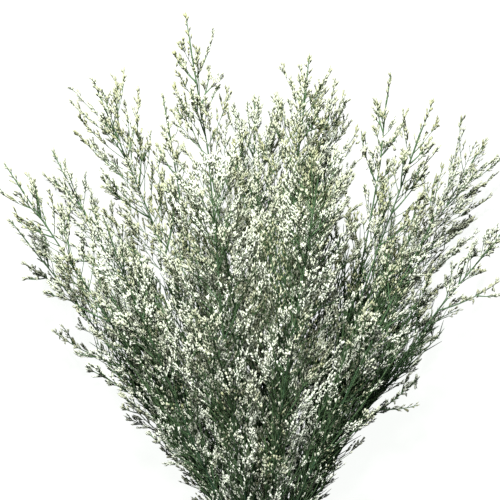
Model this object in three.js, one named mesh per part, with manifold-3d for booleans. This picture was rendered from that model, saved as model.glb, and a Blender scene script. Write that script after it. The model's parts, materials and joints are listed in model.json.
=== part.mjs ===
// A cut bunch of dried statice, held by a rubber band and lying on its side.
// Units are millimetres: X runs across the bunch, +Y from the band towards the flowering tips, and +Z is up.
// The origin is on the surface that the bunch lies on, under the middle of the band.
import * as THREE from "three";
import { mergeVertices } from "three/addons/utils/BufferGeometryUtils.js";
import Module from "manifold-3d";

const wasm = await Module();
wasm.setup();

// Stems, as wires that taper from the band to the tip.
const STEM_RADIUS = 1.5;
const STEM_TIP_RADIUS = 0.75;
const STEM_SIDES = 4;
const STEM_STEPS = 8;

// The cut ends below the band: how long they are, how unevenly they are cut and how they spread.
const BUTT_LENGTH = 112;
const BUTT_UNEVEN = 9;
const BUTT_SPREAD = 2.1;
const BUTT_BOW = 0.9;
const BUTT_LIFT = 1.3;

// Stems run straight up out of the band, and lean less in the first step above it than further on.
const COLLAR = 12;
const LEAN_FROM = 0.8;
const STEM_WOBBLE = 1.6;

// The stems, layer by layer from the surface up: the layer's rise in degrees, and for each stem its fan
// angles in degrees above the band and at its tip, and how far that tip reaches above the band.
const LAYERS = [
  { rise: 0.4, stems: [[-24, -28, 446], [-3, 0, 452], [22, 33, 466]] },
  { rise: 7, stems: [[-29, -38, 408], [-14, -7, 462], [6, 12, 470], [22, 4, 486], [28, 41, 432]] },
  { rise: 14, stems: [[-26, -35, 452], [-12, -25, 490], [-5, -10, 522], [3, 6, 490], [17, 20, 468]] },
  { rise: 22, stems: [[-24, -19, 392], [-10, -3, 420], [5, 10, 424], [20, 27, 408]] },
];
const STEM_PITCH = 3.4;
const LAYER_PITCH = 3;

// The rubber band: turns of a flat strand side by side, drawn taut round the stems.
const BAND_TURNS = 3;
const BAND_WIDTH = 3;
const BAND_GROOVE = 0.5;
const BAND_THICKNESS = 1.3;
const BAND_WEB = 0.8;
const BAND_GAP = 0.5;
const BAND_SIDES = 16;

// Branches leave a stem all round it, twigs leave a branch, and a leader ends each stem. Their places are
// measured back from the parent's tip, the nearest first and then with gaps that grow. The further back a
// limb stands, the longer it is, but no longer than a share of its height on the parent. It leaves at an
// angle in degrees, which eases halfway along it, and its share nearest the root is bare.
const BRANCHES = {
  nearest: 11,
  gap: 17,
  growth: 1.19,
  base: 19,
  share: 0.34,
  longest: 104,
  low: 0.45,
  angle: 38,
  ease: 0.45,
  radius: 0.75,
  bare: 0.3,
};
const TWIGS = {
  nearest: 20,
  gap: 26,
  growth: 1.25,
  base: 12,
  share: 0.4,
  longest: 44,
  low: 1,
  angle: 38,
  ease: 0.5,
  radius: 0.62,
  bare: 0.2,
};
const LEADER = { length: 27, sunk: 4, angle: 5, ease: 0, radius: STEM_TIP_RADIUS, bare: 0.1 };
const LOWEST_BRANCH = 84;
const LOWEST_TWIG = 0.26;
const ANGLE_SPREAD = 5;
const LENGTH_SPREAD = 0.14;

// How far each limb is turned round its parent from the one before, and where each spray and branch starts.
const TURN = 137.5;
const SPRAY_TURN = 77;
const SPRAY_TWIG_TURN = 31;
const BRANCH_TWIG_TURN = 59;

// Where a limb would cross another it is turned round its parent in this many places, and then shortened.
const TRIES = 12;
const SHORTER = [1, 0.75, 0.55];

// A limb tapers to its tip, and its root is a thin neck, sunk to the middle of its parent.
const TIP_RADIUS = 0.45;
const NECK = 0.4;
const LONG_BARE = 26;

// Florets, larger than life, are raised in two rows on the side of a limb that faces along its parent.
const FLORET_PITCH = 11.5;
const FLORET_REACH = 6.8;
const FLORET_LEAN = 7.5;

// The room that limbs leave each other: the share of their florets' reach that counts between limbs of one
// spray and of two, and a gap.
const OWN_SHARE = 0.4;
const OTHER_SHARE = 0.8;
const CLEARANCE = 0.45;

const UP = new THREE.Vector3(0, 0, 1);
const BUTT_STEPS = 2;
const LIMB_STRETCHES = 4;
const PARALLEL = 1e-9;

// The lowest stems' height in the band puts the band's flat underside on the surface.
const BAND_REACH = STEM_RADIUS + BAND_GAP + BAND_THICKNESS;
const LOWEST_PLACE = BAND_REACH * Math.cos(Math.PI / BAND_SIDES);

// A seeded generator, so that the bunch grows alike each time.
let state = 20417;
function random(low, high) {
  state = (state * 16807) % 2147483647;
  return low + ((high - low) * state) / 2147483647;
}

function heading(fan, rise) {
  const f = THREE.MathUtils.degToRad(fan);
  const r = THREE.MathUtils.degToRad(rise);
  return new THREE.Vector3(Math.sin(f) * Math.cos(r), Math.cos(f) * Math.cos(r), Math.sin(r));
}

// A path of straight stretches, all equally long in its own parameter.
class Polyline extends THREE.Curve {
  constructor(points) {
    super();
    this.points = points;
  }

  getPoint(t) {
    const place = THREE.MathUtils.clamp(t, 0, 1) * (this.points.length - 1);
    const i = Math.min(Math.floor(place), this.points.length - 2);
    return this.points[i].clone().lerp(this.points[i + 1], place - i);
  }
}

// The axis of a stem, from its cut end through its place in the band to its tip.
function stemCurve(place, fans, rise, length) {
  const butt = -BUTT_LENGTH + random(-BUTT_UNEVEN, BUTT_UNEVEN);
  const height = STEM_RADIUS + (place.z - LOWEST_PLACE) * BUTT_LIFT;
  const end = new THREE.Vector3(place.x * BUTT_SPREAD, butt, height);
  const middle = end.clone().lerp(place, 0.5);
  middle.x *= BUTT_BOW;
  const points = [end, middle, place.clone()];
  const p = place.clone().setY(COLLAR);
  for (let i = 0; i <= STEM_STEPS; i++) {
    points.push(p.clone());
    const lean = i === 0 ? LEAN_FROM : 1;
    const wobble = i < 2 ? 0 : random(-STEM_WOBBLE, STEM_WOBBLE);
    const fan = THREE.MathUtils.lerp(...fans, i / STEM_STEPS) * lean + wobble;
    p.addScaledVector(heading(fan, rise * lean), (length - COLLAR) / STEM_STEPS);
  }
  return new Polyline(points);
}

// The shortest distance between the stretches from a to b and from c to d.
function distanceBetween(a, b, c, d) {
  const u = b.clone().sub(a);
  const v = d.clone().sub(c);
  const w = a.clone().sub(c);
  const uu = u.dot(u);
  const vv = v.dot(v);
  const uv = u.dot(v);
  const uw = u.dot(w);
  const vw = v.dot(w);
  const slack = uu * vv - uv * uv;
  let s = slack > PARALLEL ? THREE.MathUtils.clamp((uv * vw - vv * uw) / slack, 0, 1) : 0;
  const t = THREE.MathUtils.clamp((uv * s + vw) / vv, 0, 1);
  s = THREE.MathUtils.clamp((uv * t - uw) / uu, 0, 1);
  return w.addScaledVector(u, s).addScaledVector(v, -t).length();
}

// What has grown so far, as stretches with a radius, each with the limb that it belongs to.
const grown = [];

function stretchesOf(limb, count) {
  const points = limb.curve.getPoints(count);
  if (limb.bare < 1) points[count].addScaledVector(limb.curve.getTangent(1), FLORET_LEAN);
  return points.slice(1).map((to, i) => ({
    from: points[i],
    to,
    radius: i + 1 > limb.bare * count ? FLORET_REACH : limb.radius,
    limb,
  }));
}

// Whether the stretches of a new limb are clear of what has grown, apart from its parent. The first of them
// may stand close to the parent's other limbs.
function isClear(stretches, parent) {
  return stretches.every((mine, i) =>
    grown.every((other) => {
      if (other.limb === parent) return true;
      if (i === 0 && other.limb.parent === parent) return true;
      const share = other.limb.spray === mine.limb.spray ? OWN_SHARE : OTHER_SHARE;
      const room = share * (mine.radius + other.radius) + CLEARANCE;
      return distanceBetween(mine.from, mine.to, other.from, other.to) > room;
    }),
  );
}

// A curve that leaves a point at an angle to its parent's direction and eases back along it. It never dips
// into the surface that the bunch lies on.
function limbCurve(root, along, turn, angle, ease, length) {
  const side = along.clone().cross(UP).normalize();
  const over = side.clone().cross(along);
  const out = side.multiplyScalar(Math.cos(turn)).addScaledVector(over, Math.sin(turn));
  const lean = (a) => along.clone().multiplyScalar(Math.cos(a)).addScaledVector(out, Math.sin(a));
  const knee = root.clone().addScaledVector(lean(angle), length / 2);
  const tip = knee.clone().addScaledVector(lean(angle * ease), length / 2);
  knee.z = Math.max(knee.z, TWIGS.radius);
  tip.z = Math.max(tip.z, TWIGS.radius);
  return new THREE.QuadraticBezierCurve3(root, knee, tip);
}

// Grows one limb from its parent at the share t of the parent's path, turned round it until it is clear.
function growLimb(parent, t, turn, rule, length) {
  const root = parent.curve.getPoint(t);
  const along = parent.curve.getTangent(t);
  const neck = NECK * THREE.MathUtils.lerp(parent.radius, parent.tipRadius, t);
  const angle = THREE.MathUtils.degToRad(rule.angle + random(-ANGLE_SPREAD, ANGLE_SPREAD));
  const full = length * random(1 - LENGTH_SPREAD, 1 + LENGTH_SPREAD);
  for (const shorter of SHORTER) {
    for (let attempt = 0; attempt < TRIES; attempt++) {
      const side = ((attempt % 2 ? 1 : -1) * Math.ceil(attempt / 2) * 2 * Math.PI) / TRIES;
      const curve = limbCurve(root, along, turn + side, angle, rule.ease, full * shorter);
      const limb = { curve, parent, spray: parent.spray, facing: along, length: full * shorter, neck };
      Object.assign(limb, { bare: rule.bare, radius: rule.radius, tipRadius: TIP_RADIUS });
      const stretches = stretchesOf(limb, LIMB_STRETCHES);
      if (isClear(stretches, parent)) {
        grown.push(...stretches);
        return limb;
      }
    }
  }
  return null;
}

// The places of the limbs on a parent of a length, each as how far it stands back from the parent's tip.
function placesBack(rule, length, lowest) {
  const places = [];
  let back = rule.nearest;
  let gap = rule.gap;
  while (length - back > lowest) {
    places.push(back);
    back += gap;
    gap *= rule.growth;
  }
  return places;
}

function lengthOf(rule, back, above) {
  return Math.min(rule.longest, rule.base + rule.share * back, rule.low * above);
}

// The share of a stem's path that lies below a height above the band.
function alongStem(stem, above) {
  const steps = 1 + ((above - COLLAR) / (stem.length - COLLAR)) * STEM_STEPS;
  return (BUTT_STEPS + steps) / (BUTT_STEPS + 1 + STEM_STEPS);
}

function growLeader(stem) {
  const turn = random(0, 2 * Math.PI);
  const t = alongStem(stem, stem.length - LEADER.sunk);
  return growLimb(stem, t, turn, LEADER, LEADER.length);
}

function growBranches(stem, firstTurn) {
  const branches = placesBack(BRANCHES, stem.length, LOWEST_BRANCH).map((back, i) => {
    const length = lengthOf(BRANCHES, back, stem.length - back);
    const turn = THREE.MathUtils.degToRad(firstTurn + TURN * i);
    const t = alongStem(stem, stem.length - back);
    return growLimb(stem, t, turn, BRANCHES, length);
  });
  return branches.filter(Boolean);
}

function growTwigs(branch, firstTurn) {
  const twigs = placesBack(TWIGS, branch.length, branch.length * LOWEST_TWIG).map((back, i) => {
    const length = lengthOf(TWIGS, back, branch.length - back);
    const turn = THREE.MathUtils.degToRad(firstTurn + TURN * i);
    return growLimb(branch, 1 - back / branch.length, turn, TWIGS, length);
  });
  return twigs.filter(Boolean);
}

// A tapered limb along its curve, with a flat root and a pointed tip. On each panel of its two sides next to
// the facing direction, past the bare part, a floret stands as a pyramid that leans towards the tip.
class LimbGeometry extends THREE.BufferGeometry {
  constructor(limb, sides, rings) {
    super();
    const vertices = [];
    const index = [];
    const push = (v) => vertices.push(v.x, v.y, Math.max(v.z, 0)) / 3 - 1;
    const fan = (corners) => {
      for (let j = 1; j + 1 < corners.length; j++) index.push(corners[0], corners[j], corners[j + 1]);
    };
    const frames = [...rings, 1].map((t) => {
      const tangent = limb.curve.getTangent(t);
      const normal = limb.facing.clone().projectOnPlane(tangent).normalize();
      return { centre: limb.curve.getPoint(t), tangent, normal, side: tangent.clone().cross(normal) };
    });
    const around = ({ centre, normal, side }, radius, share) => {
      const a = (2 * Math.PI * share) / sides;
      const across = normal.clone().multiplyScalar(Math.cos(a)).addScaledVector(side, Math.sin(a));
      return centre.clone().addScaledVector(across, radius);
    };
    const corners = rings.map((t, i) => {
      const radius = i === 0 ? limb.neck : THREE.MathUtils.lerp(limb.radius, limb.tipRadius, t);
      return Array.from({ length: sides }, (_, k) => push(around(frames[i], radius, k)));
    });
    const tip = push(limb.curve.getPoint(1));
    fan([...corners[0]].reverse());
    rings.forEach((t, i) => {
      for (let k = 0; k < sides; k++) {
        const next = (k + 1) % sides;
        const far = corners[i + 1] ? [corners[i + 1][next], corners[i + 1][k]] : [tip];
        const panel = [corners[i][k], corners[i][next], ...far];
        if (t >= limb.bare && (k === 0 || k === sides - 1)) {
          const floret = around(frames[i + 1], FLORET_REACH, k + 0.5);
          const apex = push(floret.addScaledVector(frames[i + 1].tangent, FLORET_LEAN));
          panel.forEach((corner, j) => fan([corner, panel[(j + 1) % panel.length], apex]));
        } else {
          fan(panel);
        }
      }
    });
    this.setAttribute("position", new THREE.Float32BufferAttribute(vertices, 3));
    this.setIndex(index);
  }
}

// The places of a limb's rings: one or two steps for its bare part, and then one for each pair of florets.
function ringsOf(limb) {
  const bareSteps = limb.length * limb.bare > LONG_BARE ? 2 : 1;
  const floretSteps = Math.max(1, Math.round((limb.length * (1 - limb.bare)) / FLORET_PITCH));
  const rings = [];
  for (let i = 0; i < bareSteps; i++) rings.push((limb.bare * i) / bareSteps);
  for (let i = 0; i < floretSteps; i++) rings.push(limb.bare + ((1 - limb.bare) * i) / floretSteps);
  return rings;
}

function solidOf(geometry) {
  const vertProperties = new Float32Array(geometry.attributes.position.array);
  const triVerts = new Uint32Array(geometry.index.array);
  return new wasm.Manifold(new wasm.Mesh({ numProp: 3, vertProperties, triVerts }));
}

function geometryOf(solid) {
  const { vertProperties, triVerts } = solid.getMesh();
  const geometry = new THREE.BufferGeometry();
  geometry.setAttribute("position", new THREE.BufferAttribute(vertProperties, 3));
  geometry.setIndex(new THREE.BufferAttribute(triVerts, 1));
  geometry.computeVertexNormals();
  return geometry;
}

// The spray as one solid: its stem, with the branches, the twigs and the leader fused into it.
function sprayGeometry(stem, limbs) {
  const steps = stem.curve.points.length - 1;
  const stations = Array.from({ length: steps }, (_, i) => i / steps);
  const pieces = [new LimbGeometry(stem, STEM_SIDES, stations)];
  limbs.forEach((limb) => pieces.push(new LimbGeometry(limb, 3, ringsOf(limb))));
  const bodies = wasm.Manifold.union(pieces.map(solidOf)).decompose();
  return geometryOf(bodies.reduce((a, b) => (b.volume() > a.volume() ? b : a)));
}

// A taut loop round the stems' places, at a distance from them: each way out, the furthest stem holds it.
function tautLoop(places, distance) {
  return Array.from({ length: BAND_SIDES }, (_, i) => {
    const a = (2 * Math.PI * (i + 0.5)) / BAND_SIDES - Math.PI / 2;
    const out = new THREE.Vector2(Math.cos(a), Math.sin(a));
    const furthest = places.reduce((best, place) => (place.dot(out) > best.dot(out) ? place : best));
    return furthest.clone().addScaledVector(out, distance);
  });
}

function turnOfBand(places, thickness, from, to) {
  const shape = new THREE.Shape(tautLoop(places, STEM_RADIUS + BAND_GAP + thickness));
  shape.holes.push(new THREE.Path(tautLoop(places, STEM_RADIUS + BAND_GAP).reverse()));
  const geometry = new THREE.ExtrudeGeometry(shape, { depth: to - from, bevelEnabled: false });
  geometry.deleteAttribute("normal");
  geometry.deleteAttribute("uv");
  return solidOf(mergeVertices(geometry.rotateX(Math.PI / 2).translate(0, to, 0)));
}

function bandGeometry(places) {
  const pitch = BAND_WIDTH + BAND_GROOVE;
  const edge = (BAND_TURNS * pitch - BAND_GROOVE) / 2;
  const turns = [turnOfBand(places, BAND_WEB, -edge, edge)];
  for (let i = 0; i < BAND_TURNS; i++) {
    const from = -edge + i * pitch;
    turns.push(turnOfBand(places, BAND_THICKNESS, from, from + BAND_WIDTH));
  }
  return geometryOf(wasm.Manifold.union(turns));
}

// The stems stand in the band in layers, each with its curve and what its limbs need to know of it.
function growStems() {
  return LAYERS.flatMap((layer, row) =>
    layer.stems.map(([from, to, reach], column) => {
      const x = (column - (layer.stems.length - 1) / 2) * STEM_PITCH;
      const place = new THREE.Vector3(x, 0, LOWEST_PLACE + row * LAYER_PITCH);
      const length = reach - LEADER.length + LEADER.sunk - FLORET_LEAN;
      const curve = stemCurve(place, [from, to], layer.rise, length);
      const stem = { curve, place, parent: null, facing: UP, length, bare: 1, radius: STEM_RADIUS };
      Object.assign(stem, { spray: stem, neck: STEM_RADIUS, tipRadius: STEM_TIP_RADIUS });
      grown.push(...stretchesOf(stem, curve.points.length - 1));
      return stem;
    }),
  );
}

function bunchGroup() {
  const dried = new THREE.MeshStandardMaterial({ color: 0x75836a, roughness: 0.85, metalness: 0 });
  const rubber = new THREE.MeshStandardMaterial({ color: 0xc9a673, roughness: 0.6, metalness: 0 });
  const bunch = new THREE.Group();
  const stems = growStems();
  const leaders = stems.map(growLeader);
  const branches = stems.map((stem, i) => growBranches(stem, i * SPRAY_TURN));
  const twigs = stems.map((stem, i) =>
    branches[i].flatMap((branch, j) => growTwigs(branch, i * SPRAY_TWIG_TURN + j * BRANCH_TWIG_TURN)),
  );
  stems.forEach((stem, i) => {
    const limbs = [leaders[i], ...branches[i], ...twigs[i]].filter(Boolean);
    const spray = new THREE.Mesh(sprayGeometry(stem, limbs), dried);
    spray.name = `spray_${String(i + 1).padStart(2, "0")}`;
    bunch.add(spray);
  });
  const places = stems.map(({ place }) => new THREE.Vector2(place.x, place.z));
  const band = new THREE.Mesh(bandGeometry(places), rubber);
  band.name = "rubber_band";
  bunch.add(band);
  return bunch;
}

export default bunchGroup();
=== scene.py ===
import collections
import functools
import json
import math

import bmesh
import bpy
import numpy as np
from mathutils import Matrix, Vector, noise

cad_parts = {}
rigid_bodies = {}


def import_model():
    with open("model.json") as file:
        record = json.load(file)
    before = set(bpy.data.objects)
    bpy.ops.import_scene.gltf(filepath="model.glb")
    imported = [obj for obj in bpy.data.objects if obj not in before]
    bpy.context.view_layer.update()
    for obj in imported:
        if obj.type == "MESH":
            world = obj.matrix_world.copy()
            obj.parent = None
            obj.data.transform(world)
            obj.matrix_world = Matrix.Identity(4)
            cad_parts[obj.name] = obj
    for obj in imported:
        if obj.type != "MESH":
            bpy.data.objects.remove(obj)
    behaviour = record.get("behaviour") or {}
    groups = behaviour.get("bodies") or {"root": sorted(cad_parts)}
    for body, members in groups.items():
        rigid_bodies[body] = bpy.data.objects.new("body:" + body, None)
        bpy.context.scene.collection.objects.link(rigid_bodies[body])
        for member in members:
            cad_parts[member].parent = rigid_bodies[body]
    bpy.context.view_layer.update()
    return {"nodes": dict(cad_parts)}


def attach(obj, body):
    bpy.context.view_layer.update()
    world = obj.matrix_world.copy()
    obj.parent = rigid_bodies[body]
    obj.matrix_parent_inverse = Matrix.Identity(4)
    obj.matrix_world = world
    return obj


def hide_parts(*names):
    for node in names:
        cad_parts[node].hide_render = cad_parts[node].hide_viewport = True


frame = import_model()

bl_info = {
    "name": "Dried statice bunch",
    "version": (1, 0, 0),
    "blender": (4, 5, 0),
    "location": "3D View > Sidebar > Statice",
    "description": "Dresses the sprays and rubber band of a bunch of dried statice, and sets the stage",
    "category": "Object",
}

MM = 0.001

# The growth of the solids, in millimetres: the same rules, values and seeded draws as the frame was made with,
# so that every finer twig starts on a limb of the frame.
SEED = 20417
STEM_RADIUS, STEM_TIP_RADIUS = 1.5, 0.75
STEM_STEPS, BUTT_STEPS = 8, 2
BUTT_LENGTH, BUTT_UNEVEN, BUTT_SPREAD, BUTT_BOW, BUTT_LIFT = 112, 9, 2.1, 0.9, 1.3
COLLAR, LEAN_FROM, STEM_WOBBLE = 12, 0.8, 1.6
STEM_PITCH, LAYER_PITCH = 3.4, 3
# The layers of the bunch from the floor up: how steeply each rises, in degrees, and for every stem in it the
# fan angle at the band and at the tip and the distance from the band to the tip.
LAYERS = (
    (0.4, ((-24, -28, 446), (-3, 0, 452), (22, 33, 466))),
    (7, ((-29, -38, 408), (-14, -7, 462), (6, 12, 470), (22, 4, 486), (28, 41, 432))),
    (14, ((-26, -35, 452), (-12, -25, 490), (-5, -10, 522), (3, 6, 490), (17, 20, 468))),
    (22, ((-24, -19, 392), (-10, -3, 420), (5, 10, 424), (20, 27, 408))),
)
# Limbs stand at growing gaps from the tip of their parent back. They lengthen with the distance from that tip,
# up to a longest, and no more than a share of the height of their root.
BRANCHES = {"nearest": 11, "gap": 17, "growth": 1.19, "base": 19, "share": 0.34, "longest": 104,
            "low": 0.45, "angle": 38, "ease": 0.45, "radius": 0.75, "bare": 0.3}
TWIGS = {"nearest": 20, "gap": 26, "growth": 1.25, "base": 12, "share": 0.4, "longest": 44,
         "low": 1, "angle": 38, "ease": 0.5, "radius": 0.62, "bare": 0.2}
LEADER = {"length": 27, "sunk": 4, "angle": 5, "ease": 0, "radius": STEM_TIP_RADIUS, "bare": 0.1}
LOWEST_BRANCH, LOWEST_TWIG = 84, 0.26
ANGLE_SPREAD, LENGTH_SPREAD = 5, 0.14
TURN, SPRAY_TURN, SPRAY_TWIG_TURN, BRANCH_TWIG_TURN = 137.5, 77, 31, 59
TRIES, SHORTER = 12, (1, 0.75, 0.55)
TIP_RADIUS = 0.45
# The room that florets need round a limb and past its tip, and the share of it that a limb keeps from limbs of
# its own spray and of others.
FLORET_REACH, FLORET_LEAN = 6.8, 7.5
OWN_SHARE, OTHER_SHARE, CLEARANCE = 0.4, 0.8, 0.45
LIMB_STRETCHES = 4
BAND_GAP, BAND_THICKNESS, BAND_SIDES = 0.5, 1.3, 16
LOWEST_PLACE = (STEM_RADIUS + BAND_GAP + BAND_THICKNESS) * math.cos(math.pi / BAND_SIDES)
UP = np.array((0.0, 0.0, 1.0))


class Draws:
    """Seeded draws between two numbers."""

    def __init__(self, seed):
        self.state = seed

    def __call__(self, low, high):
        self.state = self.state * 16807 % 2147483647
        return low + (high - low) * self.state / 2147483647


def unit(v):
    return v / math.sqrt(v @ v)


def blend(a, b, share):
    return a + (b - a) * share


class Line:
    """A path of straight stretches, with shares of their number from 0 to 1."""

    def __init__(self, points):
        self.points = points

    def point(self, t):
        place = min(max(t, 0), 1) * (len(self.points) - 1)
        i = min(int(place), len(self.points) - 2)
        return blend(self.points[i], self.points[i + 1], place - i)

    def tangent(self, t):
        return unit(self.point(min(t + 1e-4, 1)) - self.point(max(t - 1e-4, 0)))


class Bend(Line):
    """A quadratic curve from the first of three points to the last."""

    def point(self, t):
        root, knee, tip = self.points
        return (1 - t) ** 2 * root + 2 * (1 - t) * t * knee + t * t * tip


class Limb:
    """A stem, branch, twig or leader: its path, its parent and how it tapers."""

    def __init__(self, path, parent, facing, length, bare, radius, tip_radius, foot=0):
        self.path, self.parent, self.facing, self.length, self.foot = path, parent, facing, length, foot
        self.bare, self.radius, self.tip_radius = bare, radius, tip_radius
        self.spray = parent.spray if parent else self
        self.limbs = []


def heading(fan, rise):
    f, r = math.radians(fan), math.radians(rise)
    return np.array((math.sin(f) * math.cos(r), math.cos(f) * math.cos(r), math.sin(r)))


def bend_out(root, along, out, angle, ease, length, lowest):
    """A path that leaves a limb at an angle, eases it towards its tip and stays above a lowest height."""
    knee = root + (along * math.cos(angle) + out * math.sin(angle)) * (length / 2)
    tip = knee + (along * math.cos(angle * ease) + out * math.sin(angle * ease)) * (length / 2)
    knee[2], tip[2] = max(knee[2], lowest), max(tip[2], lowest)
    return Bend((root, knee, tip))


def lean_path(root, along, turn, angle, ease, length, lowest):
    """The path of a limb that leaves its parent, turned round it from the level."""
    side = unit(np.cross(along, UP))
    out = side * math.cos(turn) + np.cross(side, along) * math.sin(turn)
    return bend_out(root, along, out, angle, ease, length, lowest)


class Growth:
    """Grows the frame's limbs one by one, each clear of what has grown before it."""

    def __init__(self):
        self.draw = Draws(SEED)
        self.starts, self.ends, self.radii = np.zeros((0, 3)), np.zeros((0, 3)), np.zeros(0)
        self.owners = np.zeros((0, 3), int)

    def keep(self, limb, points, radii):
        parent = id(limb.parent) if limb.parent else 0
        owners = np.tile((id(limb), parent, id(limb.spray)), (len(radii), 1))
        self.starts = np.vstack((self.starts, points[:-1]))
        self.ends = np.vstack((self.ends, points[1:]))
        self.radii = np.append(self.radii, radii)
        self.owners = np.vstack((self.owners, owners))

    @staticmethod
    def stretches(limb, count):
        """The corners of a limb, its florets included, and the room that each stretch needs round it."""
        points = np.array([limb.path.point(i / count) for i in range(count + 1)])
        if limb.bare < 1:
            points[-1] += limb.path.tangent(1) * FLORET_LEAN
        radii = np.where(np.arange(1, count + 1) > limb.bare * count, FLORET_REACH, limb.radius)
        return points, radii

    def is_clear(self, limb, points, radii):
        """Whether each stretch of a new limb keeps clear of all that has grown, save where it is rooted."""
        u = (points[1:] - points[:-1])[:, None]
        v = self.ends - self.starts
        w = points[:-1, None] - self.starts
        uu, vv, uv, uw, vw = ((p * q).sum(-1) for p, q in ((u, u), (v, v), (u, v), (u, w), (v, w)))
        slack = uu * vv - uv * uv
        crossing = slack > 1e-9
        s = np.where(crossing, np.clip((uv * vw - vv * uw) / np.where(crossing, slack, 1), 0, 1), 0)
        t = np.clip((uv * s + vw) / vv, 0, 1)
        s = np.clip((uv * t - uw) / uu, 0, 1)
        apart = np.linalg.norm(w + u * s[..., None] - v * t[..., None], axis=-1)
        share = np.where(self.owners[:, 2] == id(limb.spray), OWN_SHARE, OTHER_SHARE)
        clear = apart > share * (radii[:, None] + self.radii) + CLEARANCE
        clear |= self.owners[:, 0] == id(limb.parent)
        clear[0] |= self.owners[:, 1] == id(limb.parent)
        return clear.all()

    def stem(self, place, fans, rise, length):
        """A stem from its cut end through its place in the band, bent from its first fan angle to its last."""
        butt = -BUTT_LENGTH + self.draw(-BUTT_UNEVEN, BUTT_UNEVEN)
        height = STEM_RADIUS + (place[2] - LOWEST_PLACE) * BUTT_LIFT
        end = np.array((place[0] * BUTT_SPREAD, butt, height))
        middle = blend(end, place, 0.5) * (BUTT_BOW, 1, 1)
        points, p = [end, middle, place], place + (0, COLLAR, 0)
        for i in range(STEM_STEPS + 1):
            points.append(p)
            lean = 1 if i else LEAN_FROM
            wobble = self.draw(-STEM_WOBBLE, STEM_WOBBLE) if i > 1 else 0
            fan = blend(*fans, i / STEM_STEPS) * lean + wobble
            p = p + heading(fan, rise * lean) * ((length - COLLAR) / STEM_STEPS)
        stem = Limb(Line(points), None, UP, length, 1, STEM_RADIUS, STEM_TIP_RADIUS)
        stem.rise = rise
        self.keep(stem, *self.stretches(stem, len(points) - 1))
        return stem

    def limb(self, parent, t, turn, rule, length):
        """A limb turned to the nearest side that is clear, made shorter where none is."""
        root, along = parent.path.point(t), parent.path.tangent(t)
        angle = math.radians(rule["angle"] + self.draw(-ANGLE_SPREAD, ANGLE_SPREAD))
        full = length * self.draw(1 - LENGTH_SPREAD, 1 + LENGTH_SPREAD)
        for shorter in SHORTER:
            for attempt in range(TRIES):
                side = (1 if attempt % 2 else -1) * math.ceil(attempt / 2) * 2 * math.pi / TRIES
                reach = full * shorter
                path = lean_path(root, along, turn + side, angle, rule["ease"], reach, TWIGS["radius"])
                limb = Limb(path, parent, along, reach, rule["bare"], rule["radius"], TIP_RADIUS, t)
                points, radii = self.stretches(limb, LIMB_STRETCHES)
                if self.is_clear(limb, points, radii):
                    self.keep(limb, points, radii)
                    return limb
        return None

    def limbs(self, parent, rule, lowest, first_turn, share_at):
        """The limbs of one parent, each placed by how far it stands back from the parent's tip."""
        back, gap, turn = rule["nearest"], rule["gap"], first_turn
        while parent.length - back > lowest:
            above = parent.length - back
            length = min(rule["longest"], rule["base"] + rule["share"] * back, rule["low"] * above)
            limb = self.limb(parent, share_at(back), math.radians(turn), rule, length)
            if limb:
                parent.limbs.append(limb)
            back, gap, turn = back + gap, gap * rule["growth"], turn + TURN


def along_stem(stem, above):
    """The share of a stem's path at a height above the band, in mm."""
    steps = 1 + (above - COLLAR) / (stem.length - COLLAR) * STEM_STEPS
    return (BUTT_STEPS + steps) / (BUTT_STEPS + 1 + STEM_STEPS)


@functools.lru_cache(maxsize=1)
def grown_stems():
    """The stems of the frame, each with its leader, its branches and their twigs."""
    growth, stems, leaders = Growth(), [], []
    for row, (rise, layer) in enumerate(LAYERS):
        for column, (*fans, reach) in enumerate(layer):
            x = (column - (len(layer) - 1) / 2) * STEM_PITCH
            place = np.array((x, 0.0, LOWEST_PLACE + row * LAYER_PITCH))
            length = reach - LEADER["length"] + LEADER["sunk"] - FLORET_LEAN
            stems.append(growth.stem(place, fans, rise, length))
    for stem in stems:
        turn = growth.draw(0, 2 * math.pi)
        foot = along_stem(stem, stem.length - LEADER["sunk"])
        leaders.append(growth.limb(stem, foot, turn, LEADER, LEADER["length"]))
    for i, stem in enumerate(stems):
        growth.limbs(stem, BRANCHES, LOWEST_BRANCH, i * SPRAY_TURN,
                     lambda back: along_stem(stem, stem.length - back))
    for i, stem in enumerate(stems):
        for j, branch in enumerate(stem.limbs):
            first = i * SPRAY_TWIG_TURN + j * BRANCH_TWIG_TURN
            growth.limbs(branch, TWIGS, branch.length * LOWEST_TWIG, first,
                         lambda back: 1 - back / branch.length)
    for stem, leader in zip(stems, leaders):
        stem.leader = leader
    return stems


class StaticeTwigs(bpy.types.PropertyGroup):
    sprig_pitch: bpy.props.FloatProperty(
        name="Sprig spacing", description="Distance between the sprigs along a branch, in mm",
        default=7, min=1)
    sprig_length: bpy.props.FloatProperty(
        name="Sprig length", description="Length of the longest sprigs on a branch, in mm", default=15, min=1)
    spike_pitch: bpy.props.FloatProperty(
        name="Spike spacing", description="Distance between the spikes along a twig or sprig, in mm",
        default=3.6, min=1)
    spike_length: bpy.props.FloatProperty(
        name="Spike length", description="Length of the longest spikes, in mm", default=9.5, min=1)
    # The low colour is darker partly as painted shade of the bunch's heart, on top of the stems' own deeper
    # green.
    low_colour: bpy.props.FloatVectorProperty(
        name="Low stems", description="Colour of the stems near the band", subtype="COLOR", size=3,
        min=0, max=1, default=(0.012, 0.054, 0.028))
    high_colour: bpy.props.FloatVectorProperty(
        name="High stems", description="Colour of the stems near their tips", subtype="COLOR", size=3,
        min=0, max=1, default=(0.046, 0.116, 0.042))
    twig_colour: bpy.props.FloatVectorProperty(
        name="Fine twigs", description="Colour of the finest twigs", subtype="COLOR", size=3,
        min=0, max=1, default=(0.100, 0.185, 0.080))
    cut_colour: bpy.props.FloatVectorProperty(
        name="Cut ends", description="Colour of the pith at the cut ends", subtype="COLOR", size=3,
        min=0, max=1, default=(0.48, 0.42, 0.26))


# The length of the floret forms, in mm.
FORM_LENGTH = 6.2


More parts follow.
